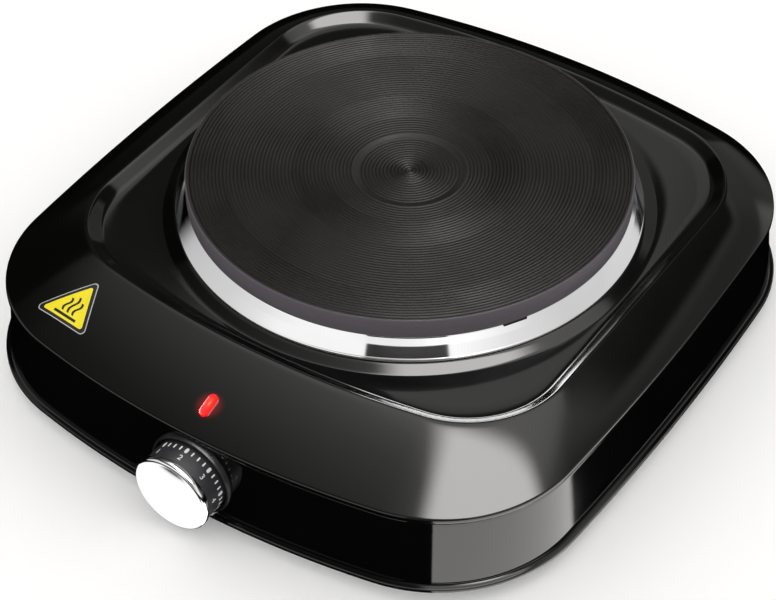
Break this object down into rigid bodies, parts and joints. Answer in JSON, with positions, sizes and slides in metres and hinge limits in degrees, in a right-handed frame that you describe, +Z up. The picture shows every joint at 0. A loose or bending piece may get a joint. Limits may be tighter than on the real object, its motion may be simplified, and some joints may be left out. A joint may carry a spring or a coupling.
{
  "type": "hot plate burner",
  "caption": "Free-standing electric hot plate: round grooved cast-iron plate with bright trim ring on a black enamelled steel body, front heat-control knob and pilot lamp.",
  "frame": {"origin": "middle of the object's footprint box, on the table under the feet", "axes": "+Z up, -Y towards the knob (front), +X to the right seen from the front"},
  "size_m": [0.2724, 0.314, 0.0708],
  "materials": {
    "black_enamel": "gloss",
    "black_skirt": "gloss",
    "cast_iron": "matt",
    "bright_trim": "polished",
    "cap_chrome": "polished",
    "knob_plastic": "satin",
    "bezel_plastic": "satin",
    "red_lens": "gloss",
    "black_rubber": "matt",
    "black_nylon": "satin",
    "natural_nylon": "satin",
    "zinc_steel": "satin",
    "spring_steel": "satin",
    "aluminised_steel": "satin",
    "bimetal": "satin",
    "brass": "satin",
    "silver_contact": "satin",
    "steatite": "matt",
    "magnesia": "matt",
    "gasket_fibre": "matt",
    "heating_wire": "satin",
    "lamp_glass": "gloss",
    "resistor_body": "gloss",
    "brown_sleeve": "satin",
    "blue_sleeve": "satin",
    "earth_sleeve": "satin",
    "glass_sleeve": "matt"
  },
  "bodies": {
    "housing": {"top_cover": "black_enamel", "cover_posts": "zinc_steel", "side_band": "black_skirt", "base_pan": "aluminised_steel", "foot_front_left": "black_rubber", "foot_front_right": "black_rubber", "foot_rear_left": "black_rubber", "foot_rear_right": "black_rubber", "foot_screws": "zinc_steel", "cast_iron_plate": "cast_iron", "trim_ring": "bright_trim", "seat_gasket": "gasket_fibre", "insulation_compound": "magnesia", "heating_coil_inner": "heating_wire", "heating_coil_outer": "heating_wire", "underside_cover": "aluminised_steel", "plate_stud": "zinc_steel", "clamp_bar": "zinc_steel", "stud_washer": "zinc_steel", "stud_nut": "zinc_steel", "terminal_bead": "steatite", "plate_terminals": "zinc_steel", "thermal_cutout": "steatite", "heat_shield": "aluminised_steel", "thermo_bracket": "zinc_steel", "bracket_screws": "zinc_steel", "thermo_bush": "brass", "bush_nut": "zinc_steel", "pin_guide": "steatite", "insulator_stack": "steatite", "stack_rivets": "brass", "fixed_leaf": "brass", "fixed_contact": "silver_contact", "thermo_terminal": "brass", "knob_bezel": "bezel_plastic", "lamp_lens": "red_lens", "lamp_holder": "natural_nylon", "neon_tube": "lamp_glass", "lamp_resistor": "resistor_body", "cord_gland": "black_nylon", "gland_nut": "black_nylon", "terminal_block": "natural_nylon", "block_screws": "brass", "earth_tag": "brass", "earth_screw": "zinc_steel", "lead_live": "brown_sleeve", "lead_neutral": "blue_sleeve", "lead_earth": "earth_sleeve", "lead_switched": "glass_sleeve", "lamp_lead_live": "glass_sleeve", "lamp_lead_neutral": "glass_sleeve"},
    "knob": {"knob_body": "knob_plastic", "knob_cap": "cap_chrome", "knob_clip": "spring_steel", "thermo_spindle": "zinc_steel"},
    "pin": {"push_pin": "steatite"},
    "leaf": {"contact_leaf": "spring_steel", "moving_contact": "silver_contact"},
    "bimetal": {"bimetal_blade": "bimetal"}
  },
  "joints": [
    {"name": "knob_turn", "type": "hinge", "parent": "housing", "child": "knob", "pos_m": [0, -0.145, 0.022], "axis": [0, 1, 0], "range_deg": [0, 270]},
    {"name": "pin_push", "type": "slide", "parent": "housing", "child": "pin", "axis": [0, 1, 0], "range_m": [0, 0.00062]},
    {"name": "leaf_close", "type": "hinge", "parent": "housing", "child": "leaf", "pos_m": [0, -0.1198, 0.015], "axis": [-1, 0, 0], "range_deg": [0, 5]},
    {"name": "bimetal_flex", "type": "hinge", "parent": "housing", "child": "bimetal", "pos_m": [0, -0.1096, 0.015], "axis": [1, 0, 0], "range_deg": [0, 1.5], "stiffness_Nm_per_rad": 0.02}
  ],
  "couplings": [
    {"joint": "pin_push", "follows": "knob_turn", "m_per_rad": 0.000127},
    {"joint": "leaf_close", "follows": "knob_turn", "ratio": 0.0181}
  ]
}
